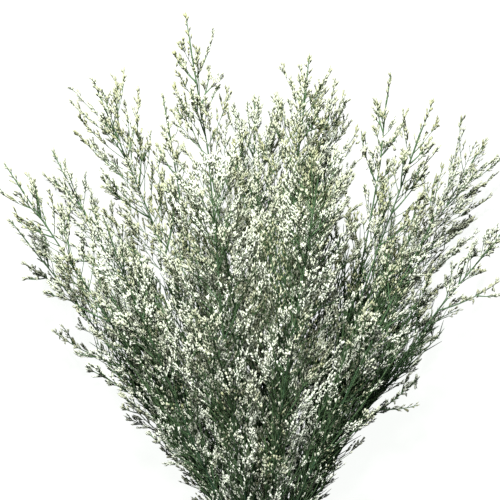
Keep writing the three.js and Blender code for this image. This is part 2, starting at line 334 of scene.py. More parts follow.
class StaticeFlorets(bpy.types.PropertyGroup):
    length: bpy.props.FloatProperty(
        name="Length", description="Length of a floret, in mm", default=FORM_LENGTH, min=1)
    pitch: bpy.props.FloatProperty(
        name="Spacing", description="Distance between the florets along a spike, in mm", default=1.1, min=0.5)
    bract_colour: bpy.props.FloatVectorProperty(
        name="Bracts", description="Colour of the green scales at a floret's foot", subtype="COLOR", size=3,
        min=0, max=1, default=(0.100, 0.180, 0.060))
    calyx_colour: bpy.props.FloatVectorProperty(
        name="Calyx", description="Colour of a floret's papery cup", subtype="COLOR", size=3,
        min=0, max=1, default=(0.69, 0.74, 0.64))
    aged_colour: bpy.props.FloatVectorProperty(
        name="Aged calyx", description="Colour of the cups that have turned", subtype="COLOR", size=3,
        min=0, max=1, default=(0.31, 0.33, 0.18))


class StaticeBand(bpy.types.PropertyGroup):
    colour: bpy.props.FloatVectorProperty(
        name="Rubber", description="Colour of the rubber band", subtype="COLOR", size=3,
        min=0, max=1, default=(0.50, 0.33, 0.15))


class StaticeStage(bpy.types.PropertyGroup):
    floor_colour: bpy.props.FloatVectorProperty(
        name="Floor", description="Colour of the floor", subtype="COLOR", size=3,
        min=0, max=1, default=(0.08, 0.08, 0.08))
    floor_glow: bpy.props.FloatProperty(
        name="Floor glow", description="How bright the floor looks to the camera; it lights nothing else",
        default=0.97, min=0)
    sky_strength: bpy.props.FloatProperty(
        name="Sky", description="Strength of the even light from all round", default=0.08, min=0)
    key_power: bpy.props.FloatProperty(
        name="Key light", description="Power of the light over the tips", unit="POWER", default=47, min=0)
    lens: bpy.props.FloatProperty(
        name="Lens", description="Focal length of the camera, in mm", default=100, min=10)
    height: bpy.props.FloatProperty(
        name="Camera height", description="Height of the camera over the floor", unit="LENGTH",
        default=1.25, min=0.3)


# How far a sprig or spike turns away from the way its limb faces and its angle to the limb, in degrees, and
# how much of that angle is left at its tip.
RANK, RANK_SPREAD = 62, 30
SPIKE_ANGLE, SPIKE_SPREAD, SPIKE_EASE = 37, 7, 0.6
SPRIG_RADIUS, SPIKE_RADIUS, FINE_TIP = 0.38, 0.3, 0.2
# Wires thinner than this, in metres, get three sides and not six.
THIN_WIRE = 0.00041
# Into how many stretches the wires of the frame's own limbs are cut, and how far they go past the solid's end.
STEM_WIRE, BRANCH_WIRE, TWIG_WIRE, BEYOND = 44, 8, 5, 4
# How much thinner than the solid a stem, branch or twig becomes from its middle on.
SLIMMER = 0.25

# Where in its own stretch of a limb a twig, floret or hair stands.
TWIG_PLACE, FLORET_PLACE, HAIR_PLACE = (0.2, 0.8), (0.1, 0.6), (0.1, 0.9)
# The fine growth along a limb, by kind: the fewest on a limb, how much shorter the last is than the first, how
# uneven they are, how much of each is bare, and the corners of its wire with the radii there.
SPIKES = {"fewest": 2, "taper": 0.62, "uneven": (0.78, 1.15), "bare": 0.22,
          "corners": (0, 0.5, 1), "radii": (SPIKE_RADIUS, SPIKE_RADIUS, FINE_TIP)}
SPRIGS = {"fewest": 3, "taper": 0.5, "uneven": (0.75, 1.15), "bare": 0.22,
          "corners": (0, 0.35, 0.7, 1), "radii": (SPRIG_RADIUS, SPIKE_RADIUS, SPIKE_RADIUS, FINE_TIP)}
TWIGLETS = {"fewest": 3, "taper": 0.6, "uneven": (0.7, 1.15), "bare": 0.2,
            "corners": (0, 0.35, 0.7, 1), "radii": (SPIKE_RADIUS, SPIKE_RADIUS, FINE_TIP, FINE_TIP)}
TWIGLET_PITCH, TWIGLET_LONG, TWIGLET_FLORETS = 7.0, 18, 1.5
# Spikes on a sprig reach this share of its length. The last stretch of a twig, in mm, has florets of its own.
SPRIG_SPIKES, LAST_STRETCH = 0.42, 6
# Where the florets on a branch's and on a finer branch's own end begin.
BRANCH_END, FILL_END = 0.8, 0.7
# The share of the full growth that a branch at the tip of its stem carries, and that the leader does.
TIP_LUSH, LEADER_LUSH = 0.45, 0.5

# Finer branches that fill each spray between the frame's own: their spacing along the stem, how they lengthen
# away from its tip, and where they start and end. Pairs go from the foot of the stem to its tip. They carry
# twiglets, and these carry florets.
FILL = {"lowest": 70, "top": 16, "pitch": 4.7, "gaps": (1.3, 0.7), "base": 28, "share": 0.24, "longest": 84,
        "low": 0.42, "uneven": (0.6, 1.1), "reach": (0.62, 1.3), "angle": 42, "spread": 10, "ease": 0.5,
        "radius": 0.46, "bare": 0.3, "steps": 6, "beyond": 3, "within": 1, "tip_lush": 0.6}
# Long green shoots that run up beside each stem and close the heart of the bunch.
SHOOTS = {"count": 15, "lowest": 10, "highest": 0.5, "lengths": (80, 160), "room": 0.8,
          "angle": 16, "spread": 11, "ease": (0.2, 1.2), "radius": 0.7, "bare": 0.75,
          "steps": 6, "beyond": 0, "within": 0.8, "hair_pitch": 8, "hair": 12, "hair_radius": SPIKE_RADIUS}
# Green side shoots on the stems of the lowest layers, those that rise less than a limit in degrees. They end
# higher up on the denser sprays.
UNDER = {"rise": 10, "half_width": 112, "lowest": 60, "highest": 0.76, "least": 0.55, "denser": 0.45,
         "most": 1.1, "pitch": 1.9, "longest": 84, "low": 0.4, "high": 0.5, "uneven": (0.7, 1.1),
         "angle": 32, "spread": 14, "ease": 0.4, "radius": 1.2, "bare": 1,
         "steps": 4, "beyond": 0, "within": 0.8, "hair_pitch": 7, "hair": 15, "hair_radius": 0.6}
# Hairs start at a share of a green shoot and stand on the rest of it. They are uneven, and their florets stand
# wide apart from a share of the hair on.
HAIR_START, HAIRY, HAIR_UNEVEN, HAIR_BARE, HAIR_FLORETS = 0.2, 0.8, (0.6, 1.3), 0.4, 4.5
# How uneven the gaps between finer branches or green shoots are, and their turn round the stem, in degrees.
GAP_UNEVEN, TURN_SPREAD = (0.6, 1.4), 25

# A floret's turn away from the way its limb faces and its angle to the spike, in degrees, and its size, which
# falls towards the spike's tip. The last one has a size of its own.
FLORET_TURN, FLORET_TURN_SPREAD = 58, 22
FLORET_ANGLE, FLORET_SPREAD = 24, 10
FLORET_SIZES, FLORET_TAPER, LAST_SIZES = (0.74, 1.08), 0.18, (0.65, 0.9)
# How much the tint differs between sprays, and then between branches, finer branches, twigs and florets.
SPRAY_TINT, BRANCH_TINT, FILL_TINT, TWIG_TINT, FLORET_TINT = (0.3, 0.7), 0.15, 0.2, 0.12, 0.16
# Florets stand in clumps of about this room in x, y and z, in mm. The share of them that opens swings about a
# middle, those between the clumps turn towards the aged colour, partly ageing and partly painted shade of the
# gaps, and the clumps fade towards the height of the tips.
CLUMP_ROOM, CLUMP_MIDDLE, CLUMP_DEPTH, CLUMP_SHADE_AND_AGE, CLUMP_TOP = (24, 34, 80), 0.82, 1.5, 0.5, 520
# The forms of a floret: the number of sides, the height and radius of the rim, the height of the middle, and
# the height and radius of the waist, in mm. Each of two draws that is over its limit picks the next form.
FLORET_FORMS = (
    ("form_0_open", 5, (5.7, 1.2), 4.3, (2.0, 0.75)),
    ("form_1_bud", 4, (2.6, 0.82), 6.2, None),
    ("form_2_half", 4, (3.9, 0.98), 6.0, None),
)
FORM_LIMITS = (0.16, 0.45)

# How dense the finer branches of a spray stand and how far they reach, by its number.
LUSH = {1: (0.85, 0.75), 2: (1.5, 1.4), 3: (0.95, 1.15), 4: (0.7, 0.7), 5: (0.5, 0.55), 6: (1.2, 1.0),
        7: (0.45, 0.45), 8: (0.6, 0.5), 9: (0.8, 0.85), 10: (1.05, 1.1), 11: (0.6, 0.9), 12: (1.1, 1.05),
        13: (0.6, 0.85), 14: (0.85, 0.8), 15: (1.4, 1.3), 16: (1.4, 1.25), 17: (0.65, 0.65)}
SPRAY_SEEDS = 7919

# How far the foot of a floret, and the tip of a floret or twig, keeps above the floor, and the height that the
# tips of the finer branches stay below.
FOOT_ROOM, FLOOR_ROOM, CEILING = 0.8, 1.5, 162
# The outline of the bunch: its half width grows by a share of the height above the band.
OUTLINE_SLOPE, OUTLINE_ROOM = 0.63, 8


def side_path(stem, t, turn, angle, ease, length, within):
    """The path of a finer branch beside a stem, turned so that it keeps off the floor, below the ceiling and
    within a share of the outline."""
    root, along = stem.path.point(t), stem.path.tangent(t)
    if root[2] + length * math.sin(angle) * math.sin(turn) < 0:
        turn = -turn
    path = lean_path(root, along, turn, angle, ease, length, FLOOR_ROOM)
    if path.point(1)[2] > CEILING:
        turn = -turn
        path = lean_path(root, along, turn, angle, ease, length, FLOOR_ROOM)
    tip = path.point(1)
    if abs(tip[0]) > within * (OUTLINE_SLOPE * tip[1] + OUTLINE_ROOM):
        path = lean_path(root, along, math.pi - turn, angle, ease, length, FLOOR_ROOM)
    return path


class Dressing:
    """The finer growth on one spray: wires as points with radii, and florets as places with headings."""

    def __init__(self, seed, density, reach, measures):
        self.draw, self.measures = Draws(seed), measures
        self.density, self.reach = density, reach
        self.wires, self.places, self.headings, self.sizes, self.tints = [], [], [], [], []

    def about(self, middle, spread):
        return self.draw(middle - spread, middle + spread)

    def frame_at(self, path, t, facing):
        """The place on a path, the way it runs, the way it faces and the side."""
        along = path.tangent(t)
        across = facing - along * (facing @ along)
        normal = unit(across) if across @ across > 1e-6 else unit(np.cross(along, UP + (0.3, 0, 0)))
        return path.point(t), along, normal, np.cross(along, normal)

    def floret(self, place, direction, size, tint):
        """One floret, with its foot and its tip kept above the floor."""
        reach = size * self.measures.floret_length
        direction, place = unit(direction), np.array((*place[:2], max(place[2], FOOT_ROOM)))
        rise = max(direction[2], (FLOOR_ROOM - place[2]) / reach)
        direction[:2] *= math.sqrt(1 - rise * rise) / max(math.hypot(*direction[:2]), 1e-6)
        direction[2] = rise
        self.places.append(place)
        self.headings.append(direction)
        self.sizes.append(size)
        self.tints.append(tint)

    def clump_at(self, place):
        """The share of florets that open at a place: they stand in clumps, less so towards the tips."""
        x, y, z = (float(value / room) for value, room in zip(place, CLUMP_ROOM))
        wave = CLUMP_MIDDLE + CLUMP_DEPTH * noise.noise((x, y, z))
        return blend(wave, 1, min(1, max(0, place[1] / CLUMP_TOP) ** 3))

    def florets_along(self, path, facing, start, length, tint, pitch=None):
        """Florets in two rows on the side of a spike that faces its limb, and one at its tip."""
        count = max(1, round(length * (1 - start) / (pitch or self.measures.floret_pitch)))
        clump = self.clump_at(path.point(1))
        # Between the clumps the tint moves towards the aged colour: partly ageing, partly painted shade of the
        # gaps.
        tint += CLUMP_SHADE_AND_AGE * (CLUMP_MIDDLE - clump)
        for i in range(count):
            t = start + (1 - start) * (i + self.draw(*FLORET_PLACE)) / count
            if self.draw(0, 1) > clump:
                continue
            place, along, normal, side = self.frame_at(path, t, facing)
            turn = math.radians(self.about(FLORET_TURN, FLORET_TURN_SPREAD)) * (1 if i % 2 else -1)
            angle = math.radians(self.about(FLORET_ANGLE, FLORET_SPREAD))
            out = normal * math.cos(turn) + side * math.sin(turn)
            size = self.draw(*FLORET_SIZES) * (1 - FLORET_TAPER * t)
            mood = tint + self.about(0, FLORET_TINT)
            self.floret(place, along * math.cos(angle) + out * math.sin(angle), size, mood)
        size = self.draw(*LAST_SIZES)
        self.floret(path.point(1), path.tangent(1), size, tint + self.about(0, FLORET_TINT))

    def spike(self, path, t, facing, rank, length):
        """The path of one fine twig that leaves a limb on one side, and the way the limb runs there."""
        root, along, normal, side = self.frame_at(path, t, facing)
        turn = math.radians(self.about(RANK, RANK_SPREAD)) * rank
        angle = math.radians(self.about(SPIKE_ANGLE, SPIKE_SPREAD))
        out = normal * math.cos(turn) + side * math.sin(turn)
        return bend_out(root, along, out, angle, SPIKE_EASE, length, FLOOR_ROOM), along

    def growth_along(self, path, facing, start, length, pitch, longest, rule, tint):
        """Fine twigs of one kind along a path, left and right in turn. It gives them one by one as they grow,
        each with the way it faces, its length and its tint."""
        count = max(rule["fewest"], round(length * (1 - start) / pitch))
        for i in range(count):
            share = (i + self.draw(*TWIG_PLACE)) / count
            reach = longest * (1 - rule["taper"] * share) * self.draw(*rule["uneven"])
            mood = tint + self.about(0, TWIG_TINT)
            twig, back = self.spike(path, start + (1 - start) * share, facing, 1 if i % 2 else -1, reach)
            self.wires.append(([twig.point(corner) for corner in rule["corners"]], rule["radii"]))
            yield twig, back, reach, mood

    def spikes_along(self, path, facing, start, length, longest, tint):
        """Spikes along a twig or sprig, with florets on them and at its end."""
        place, pitch = (path, facing, start, length), self.measures.spike_pitch
        for spike, back, reach, mood in self.growth_along(*place, pitch, longest, SPIKES, tint):
            self.florets_along(spike, back, SPIKES["bare"], reach, mood)
        self.florets_along(path, facing, 1 - LAST_STRETCH / length, length, tint)

    def sprigs_along(self, limb, longest, tint):
        """Sprigs along a branch, with spikes of their own."""
        place, pitch = (limb.path, limb.facing, limb.bare, limb.length), self.measures.sprig_pitch
        for sprig, back, reach, mood in self.growth_along(*place, pitch, longest, SPRIGS, tint):
            self.spikes_along(sprig, back, SPRIGS["bare"], reach, SPRIG_SPIKES * reach, mood)

    def twiglets_along(self, limb, lush, tint):
        """Short twigs along a finer branch, with florets on them and at its end."""
        place, longest = (limb.path, limb.facing, limb.bare, limb.length), TWIGLET_LONG * lush
        for twiglet, back, reach, mood in self.growth_along(*place, TWIGLET_PITCH, longest, TWIGLETS, tint):
            self.florets_along(twiglet, back, TWIGLETS["bare"], reach, mood, TWIGLET_FLORETS)
        self.florets_along(limb.path, limb.facing, FILL_END, limb.length, tint, TWIGLET_FLORETS)

    def hairs_along(self, limb, rule, tint):
        """Short hairs along a green shoot, with florets past its bare part."""
        count = round(HAIRY * limb.length / rule["hair_pitch"])
        for i in range(count):
            share = HAIR_START + HAIRY * (i + self.draw(*HAIR_PLACE)) / count
            reach = rule["hair"] * self.draw(*HAIR_UNEVEN)
            hair, back = self.spike(limb.path, share, limb.facing, 1 if i % 2 else -1, reach)
            self.wires.append(([hair.point(0), hair.point(1)], (rule["hair_radius"], FINE_TIP)))
            if share > rule["bare"]:
                self.florets_along(hair, back, HAIR_BARE, reach, tint, HAIR_FLORETS)

    def limb_wire(self, limb, steps, beyond=0):
        """The limb's own wire, drawn out past the solid's end to carry the last florets."""
        shares = [i / steps for i in range(steps + 1)]
        points = [limb.path.point(t) for t in shares]
        radii = [blend(limb.radius, limb.tip_radius, t) * (1 - SLIMMER * min(1, 2 * t)) for t in shares]
        if beyond:
            points.append(points[-1] + limb.path.tangent(1) * beyond)
            radii.append(FINE_TIP)
        self.wires.append((points, radii))

    def side_limb(self, stem, above, turn, angle, ease, length, rule):
        """A finer branch or green shoot that leaves a stem at a height, with its wire."""
        t = along_stem(stem, above)
        path = side_path(stem, t, turn, angle, ease, length, rule["within"])
        limb = Limb(path, stem, stem.path.tangent(t), length, rule["bare"], rule["radius"], SPIKE_RADIUS, t)
        self.limb_wire(limb, rule["steps"], rule["beyond"])
        return limb

    def filling(self, stem, tint):
        """Finer branches all round a stem, between those of the frame."""
        above, turn = FILL["lowest"] + self.draw(0, FILL["pitch"]), self.draw(0, 360)
        while above < stem.length - FILL["top"]:
            height, back = above / stem.length, stem.length - above
            length = min(FILL["longest"], FILL["base"] + FILL["share"] * back, FILL["low"] * above)
            length *= self.draw(*FILL["uneven"]) * self.reach * blend(*FILL["reach"], height)
            angle = math.radians(self.about(FILL["angle"], FILL["spread"]))
            limb = self.side_limb(stem, above, math.radians(turn), angle, FILL["ease"], length, FILL)
            mood = tint + self.about(0, FILL_TINT)
            self.twiglets_along(limb, blend(1, FILL["tip_lush"], limb.foot ** 3), mood)
            above += FILL["pitch"] * self.draw(*GAP_UNEVEN) * blend(*FILL["gaps"], height) / self.density
            turn += TURN + self.about(0, TURN_SPREAD)

    def shoots(self, stem, tint):
        """Long green shoots that run up beside a stem, with florets near their ends."""
        room = SHOOTS["highest"] * stem.length - SHOOTS["lowest"]
        for i in range(SHOOTS["count"]):
            above = SHOOTS["lowest"] + room * (i + self.draw(0, 1)) / SHOOTS["count"]
            length = min(self.draw(*SHOOTS["lengths"]), (stem.length - above) * SHOOTS["room"])
            angle = math.radians(self.about(SHOOTS["angle"], SHOOTS["spread"]))
            turn, ease = self.draw(0, 2 * math.pi), self.draw(*SHOOTS["ease"])
            limb = self.side_limb(stem, max(above, COLLAR), turn, angle, ease, length, SHOOTS)
            self.hairs_along(limb, SHOOTS, tint)

    def undergrowth(self, stem):
        """Green side shoots without florets that close the heart of the bunch from below."""
        above, turn = UNDER["lowest"], self.draw(0, 360)
        share = min(UNDER["most"], UNDER["least"] + UNDER["denser"] * self.density)
        top = UNDER["highest"] * share * stem.length
        while above < top and abs(stem.path.point(along_stem(stem, above))[0]) <= UNDER["half_width"]:
            length = min(UNDER["longest"], UNDER["low"] * above, UNDER["high"] * (stem.length - above))
            length *= self.draw(*UNDER["uneven"])
            angle = math.radians(self.about(UNDER["angle"], UNDER["spread"]))
            limb = self.side_limb(stem, above, math.radians(turn), angle, UNDER["ease"], length, UNDER)
            self.hairs_along(limb, UNDER, 0)
            above += UNDER["pitch"] * self.draw(*GAP_UNEVEN)
            turn += TURN + self.about(0, TURN_SPREAD)

    def dress(self, stem):
        tint = self.draw(*SPRAY_TINT)
        self.limb_wire(stem, STEM_WIRE)
        self.filling(stem, tint)
        self.shoots(stem, tint)
        if stem.rise < UNDER["rise"]:
            self.undergrowth(stem)
        for branch in stem.limbs:
            mood = tint + self.about(0, BRANCH_TINT)
            lush = self.reach * blend(1, TIP_LUSH, branch.foot ** 4)
            self.limb_wire(branch, BRANCH_WIRE, BEYOND)
            self.sprigs_along(branch, self.measures.sprig_length * lush, mood)
            self.florets_along(branch.path, branch.facing, BRANCH_END, branch.length, mood)
            for twig in branch.limbs:
                self.limb_wire(twig, TWIG_WIRE, BEYOND)
                self.spikes_along(twig.path, twig.facing, twig.bare, twig.length,
                                  self.measures.spike_length * lush, mood)
        if stem.leader:
            leader = stem.leader
            self.limb_wire(leader, TWIG_WIRE, BEYOND)
            reach = self.measures.spike_length * self.density * LEADER_LUSH
            self.spikes_along(leader.path, leader.facing, leader.bare, leader.length, reach, tint)
        return self


# The measures that a user can change, in millimetres.
Measures = collections.namedtuple(
    "Measures", "sprig_pitch sprig_length spike_pitch spike_length floret_length floret_pitch")


@functools.lru_cache(maxsize=1)
def dressed_sprays(measures):
    return [Dressing(SEED + SPRAY_SEEDS * i, *LUSH[i], measures).dress(stem)
            for i, stem in enumerate(grown_stems(), 1)]


def sprays_of(scene):
    """The dressing of every spray, grown anew only where a measure has changed."""
    twigs, florets = scene.statice_twigs, scene.statice_florets
    return dressed_sprays(Measures(
        twigs.sprig_pitch, twigs.sprig_length, twigs.spike_pitch, twigs.spike_length,
        florets.length, florets.pitch))


def link(obj):
    bpy.context.scene.collection.objects.link(obj)
    return obj


def geometry_tree(name):
    tree = bpy.data.node_groups.new(name, "GeometryNodeTree")
    tree.interface.new_socket(name="Geometry", in_out="INPUT", socket_type="NodeSocketGeometry")
    tree.interface.new_socket(name="Geometry", in_out="OUTPUT", socket_type="NodeSocketGeometry")
    return tree, tree.nodes.new("NodeGroupInput"), tree.nodes.new("NodeGroupOutput")


def baked(obj, tree, name):
    """The object's shape after a geometry tree, as a mesh object of its own."""
    obj.modifiers.new("Growth", "NODES").node_group = tree
    graph = bpy.context.evaluated_depsgraph_get()
    mesh = bpy.data.meshes.new_from_object(obj.evaluated_get(graph), depsgraph=graph)
    bpy.data.objects.remove(obj)
    mesh.name = name
    return link(bpy.data.objects.new(name, mesh))


def store(tree, geometry, name, value):
    node = tree.nodes.new("GeometryNodeStoreNamedAttribute")
    node.data_type, node.domain = "FLOAT", "POINT"
    node.inputs["Name"].default_value = name
    tree.links.new(geometry, node.inputs["Geometry"])
    tree.links.new(value, node.inputs["Value"])
    return node.outputs["Geometry"]


def wire_tree(thin):
    """Skins every spline as a tapered wire: six sides for the thick ones, three for those below a limit."""
    tree, start, end = geometry_tree("Wire skin")
    radius = tree.nodes.new("GeometryNodeInputRadius").outputs["Radius"]
    spline = tree.nodes.new("GeometryNodeSplineParameter")
    is_thin = tree.nodes.new("FunctionNodeCompare")
    is_thin.data_type, is_thin.operation = "FLOAT", "LESS_THAN"
    tree.links.new(radius, is_thin.inputs["A"])
    is_thin.inputs["B"].default_value = thin
    split = tree.nodes.new("GeometryNodeSeparateGeometry")
    split.domain = "CURVE"
    tree.links.new(start.outputs["Geometry"], split.inputs["Geometry"])
    tree.links.new(is_thin.outputs["Result"], split.inputs["Selection"])
    join = tree.nodes.new("GeometryNodeJoinGeometry")
    for output, sides in (("Inverted", 6), ("Selection", 3)):
        kept = tree.nodes.new("GeometryNodeCaptureAttribute")
        kept.capture_items.new("FLOAT", "along")
        kept.capture_items.new("FLOAT", "thick")
        tree.links.new(split.outputs[output], kept.inputs["Geometry"])
        tree.links.new(spline.outputs["Length"], kept.inputs["along"])
        tree.links.new(radius, kept.inputs["thick"])
        ring = tree.nodes.new("GeometryNodeCurvePrimitiveCircle")
        ring.inputs["Resolution"].default_value = sides
        ring.inputs["Radius"].default_value = 1
        round_it = tree.nodes.new("GeometryNodeCaptureAttribute")
        round_it.capture_items.new("FLOAT", "around")
        tree.links.new(ring.outputs["Curve"], round_it.inputs["Geometry"])
        tree.links.new(spline.outputs["Factor"], round_it.inputs["around"])
        skin = tree.nodes.new("GeometryNodeCurveToMesh")
        skin.inputs["Fill Caps"].default_value = True
        tree.links.new(kept.outputs["Geometry"], skin.inputs["Curve"])
        tree.links.new(round_it.outputs["Geometry"], skin.inputs["Profile Curve"])
        tree.links.new(radius, skin.inputs["Scale"])
        skinned = store(tree, skin.outputs["Mesh"], "along", kept.outputs["along"])
        skinned = store(tree, skinned, "thick", kept.outputs["thick"])
        skinned = store(tree, skinned, "around", round_it.outputs["around"])
        tree.links.new(skinned, join.inputs["Geometry"])
    smooth = tree.nodes.new("GeometryNodeSetShadeSmooth")
    tree.links.new(join.outputs["Geometry"], smooth.inputs["Geometry"])
    tree.links.new(smooth.outputs["Geometry"], end.inputs["Geometry"])
    return tree


def wire_curve(name, wires):
    curve = bpy.data.curves.new(name, "CURVE")
    curve.dimensions = "3D"
    for points, radii in wires:
        spline = curve.splines.new("POLY")
        spline.points.add(len(points) - 1)
        corners = np.ones((len(points), 4))
        corners[:, :3] = np.array(points) * MM
        corners[:, 2] = np.maximum(corners[:, 2], np.array(radii) * MM)
        spline.points.foreach_set("co", corners.ravel())
        spline.points.foreach_set("radius", np.array(radii) * MM)
    return link(bpy.data.objects.new(name, curve))


def floret_form(name, sides, rim, middle, waist, size):
    """A floret that widens from its foot to its rim, with the middle sunk in it or drawn out beyond it."""
    height, radius = (part * size for part in rim)
    middle *= size
    bm = bmesh.new()
    bmesh.ops.create_cone(bm, cap_ends=True, segments=sides, radius1=0, radius2=radius * MM, depth=height * MM)
    bmesh.ops.translate(bm, verts=bm.verts, vec=(0, 0, height * MM / 2))
    bmesh.ops.remove_doubles(bm, verts=bm.verts, dist=1e-6)
    if waist:
        level, girth = (part * size for part in waist)
        geom = bm.verts[:] + bm.edges[:] + bm.faces[:]
        cut = bmesh.ops.bisect_plane(bm, geom=geom, plane_co=(0, 0, level * MM), plane_no=(0, 0, 1))
        ring = [v for v in cut["geom_cut"] if isinstance(v, bmesh.types.BMVert)]
        bmesh.ops.scale(bm, verts=ring, vec=(girth * height / (level * radius),) * 2 + (1,))
    lid = max(bm.faces, key=lambda face: min(v.co.z for v in face.verts))
    bmesh.ops.poke(bm, faces=[lid])["verts"][0].co.z = middle * MM
    bmesh.ops.recalc_face_normals(bm, faces=bm.faces)
    mesh = bpy.data.meshes.new(name)
    bm.to_mesh(mesh)
    bm.free()
    places = np.zeros(len(mesh.vertices) * 3)
    mesh.vertices.foreach_get("co", places)
    up = places[2::3] / (max(height, middle) * MM)
    mesh.attributes.new("up", "FLOAT", "POINT").data.foreach_set("value", up)
    mesh.shade_smooth()
    return bpy.data.objects.new(name, mesh)


def scatter_tree(forms):
    """Sets one of the floret forms on each point, turned to its heading, and makes them one mesh."""
    tree, start, end = geometry_tree("Floret scatter")

    def attribute(name, kind):
        node = tree.nodes.new("GeometryNodeInputNamedAttribute")
        node.data_type = kind
        node.inputs["Name"].default_value = name
        return node.outputs["Attribute"]

    pick = tree.nodes.new("GeometryNodeCollectionInfo")
    pick.inputs["Collection"].default_value = forms
    pick.inputs["Separate Children"].default_value = True
    pick.inputs["Reset Children"].default_value = True
    turn = tree.nodes.new("FunctionNodeAlignRotationToVector")
    turn.axis = "Z"
    tree.links.new(attribute("heading", "FLOAT_VECTOR"), turn.inputs["Vector"])
    put = tree.nodes.new("GeometryNodeInstanceOnPoints")
    put.inputs["Pick Instance"].default_value = True
    tree.links.new(start.outputs["Geometry"], put.inputs["Points"])
    tree.links.new(pick.outputs["Instances"], put.inputs["Instance"])
    tree.links.new(attribute("form", "INT"), put.inputs["Instance Index"])
    tree.links.new(turn.outputs["Rotation"], put.inputs["Rotation"])
    tree.links.new(attribute("size", "FLOAT"), put.inputs["Scale"])
    real = tree.nodes.new("GeometryNodeRealizeInstances")
    tree.links.new(put.outputs["Instances"], real.inputs["Geometry"])
    tree.links.new(real.outputs["Geometry"], end.inputs["Geometry"])
    return tree


def floret_points(name, dressing):
    mesh = bpy.data.meshes.new(name)
    count = len(dressing.places)
    mesh.vertices.add(count)
    mesh.vertices.foreach_set("co", (np.array(dressing.places) * MM).ravel())
    first, second = FORM_LIMITS
    forms = [int(dressing.draw(0, 1) > first) + int(dressing.draw(0, 1) > second) for _ in range(count)]
    for key, kind, field, values in (
        ("heading", "FLOAT_VECTOR", "vector", np.array(dressing.headings).ravel()),
        ("size", "FLOAT", "value", dressing.sizes),
        ("tint", "FLOAT", "value", dressing.tints),
        ("form", "INT", "value", forms),
    ):
        mesh.attributes.new(key, kind, "POINT").data.foreach_set(field, values)
    return link(bpy.data.objects.new(name, mesh))


class Nodes:
    """A short hand for building a material or group out of shader nodes."""

    def __init__(self, tree):
        self.tree = tree

    def add(self, kind, settings=None, **inputs):
        node = self.tree.nodes.new("ShaderNode" + kind)
        for key, value in (settings or {}).items():
            setattr(node, key, value)
        for key, value in inputs.items():
            self.put(node.inputs[key.replace("_", " ")], value)
        return node

    def put(self, socket, value):
        if isinstance(value, bpy.types.NodeSocket):
            self.tree.links.new(value, socket)
        elif hasattr(value, "__len__") and len(value) == 3 and len(socket.default_value) == 4:
            socket.default_value = (*value, 1)
        else:
            socket.default_value = value

    def maths(self, operation, a, b=0.0):
        node = self.add("Math", {"operation": operation})
        for socket, value in zip(node.inputs, (a, b)):
            self.put(socket, value)
        return node.outputs[0]

    def mix(self, share, a, b):
        node = self.add("Mix", {"data_type": "RGBA"})
        for socket, value in zip((node.inputs[0], node.inputs[6], node.inputs[7]), (share, a, b)):
            self.put(socket, value)
        return node.outputs[2]

    def span(self, value, low, high, to_low=0.0, to_high=1.0):
        limits = {"From_Min": low, "From_Max": high, "To_Min": to_low, "To_Max": to_high}
        return self.add("MapRange", None, Value=value, **limits).outputs["Result"]

    def noise(self, vector, scale, detail=2.0, roughness=0.5):
        node = self.add("TexNoise", None, Vector=vector, Scale=scale, Detail=detail, Roughness=roughness)
        return node.outputs["Fac"]

    def attribute(self, name):
        return self.add("Attribute", {"attribute_name": name}).outputs["Fac"]


# Where along the bunch, in metres, the low colours turn into the high ones, and where the cut ends turn pale.
# The dark low colours carry painted shade of the bunch's dense heart as well as their own deeper green; higher
# up the florets also age more.
SHADE_AND_AGE_SPAN, CUT_ENDS = (0.10, 0.46), (-0.095, -0.1)
# The colours of streaks, of the darker green at the foot of the lowest florets, which is partly painted shade
# of the bunch's heart, of specks and of dust.
FIBRE_COLOUR, LOW_BRACT_AND_SHADE_COLOUR = (0.12, 0.13, 0.06), (0.028, 0.070, 0.036)
SPECK_COLOUR, DUST_COLOUR = (0.40, 0.36, 0.20), (0.62, 0.47, 0.28)


def height_group():
    """How high in the bunch a point is, from 0 at the band to 1 at the tips, with a patchy edge."""
    tree = bpy.data.node_groups.new("Height in bunch", "ShaderNodeTree")
    for way, names in (("INPUT", ("Patch size", "Patchiness")), ("OUTPUT", ("Height", "Patch"))):
        for name in names:
            tree.interface.new_socket(name=name, in_out=way, socket_type="NodeSocketFloat")
    nodes = Nodes(tree)
    start, end = tree.nodes.new("NodeGroupInput"), tree.nodes.new("NodeGroupOutput")
    place = nodes.add("TexCoord").outputs["Object"]
    y = nodes.add("SeparateXYZ", None, Vector=place).outputs["Y"]
    patch = nodes.noise(place, start.outputs["Patch size"])
    sway = nodes.maths("MULTIPLY", nodes.maths("SUBTRACT", patch, 0.5), start.outputs["Patchiness"])
    height = nodes.maths("ADD", nodes.span(y, *SHADE_AND_AGE_SPAN), sway)
    tree.links.new(nodes.maths("MINIMUM", nodes.maths("MAXIMUM", height, 0.0), 1.0), end.inputs["Height"])
    tree.links.new(patch, end.inputs["Patch"])
    return tree


def material(name):
    made = bpy.data.materials.new(name)
    made.use_nodes = True
    made.node_tree.nodes.clear()
    nodes = Nodes(made.node_tree)
    surface = nodes.add("BsdfPrincipled")
    output = nodes.add("OutputMaterial")
    made.node_tree.links.new(surface.outputs["BSDF"], output.inputs["Surface"])
    return made, nodes, surface


def in_bunch(nodes, patch_size, patchiness):
    """The height in the bunch and the patches at its edge, for one material."""
    group = nodes.add("Group", {"node_tree": bpy.data.node_groups.get("Height in bunch") or height_group()})
    group.inputs["Patch size"].default_value = patch_size
    group.inputs["Patchiness"].default_value = patchiness
    return group.outputs["Height"], group.outputs["Patch"]


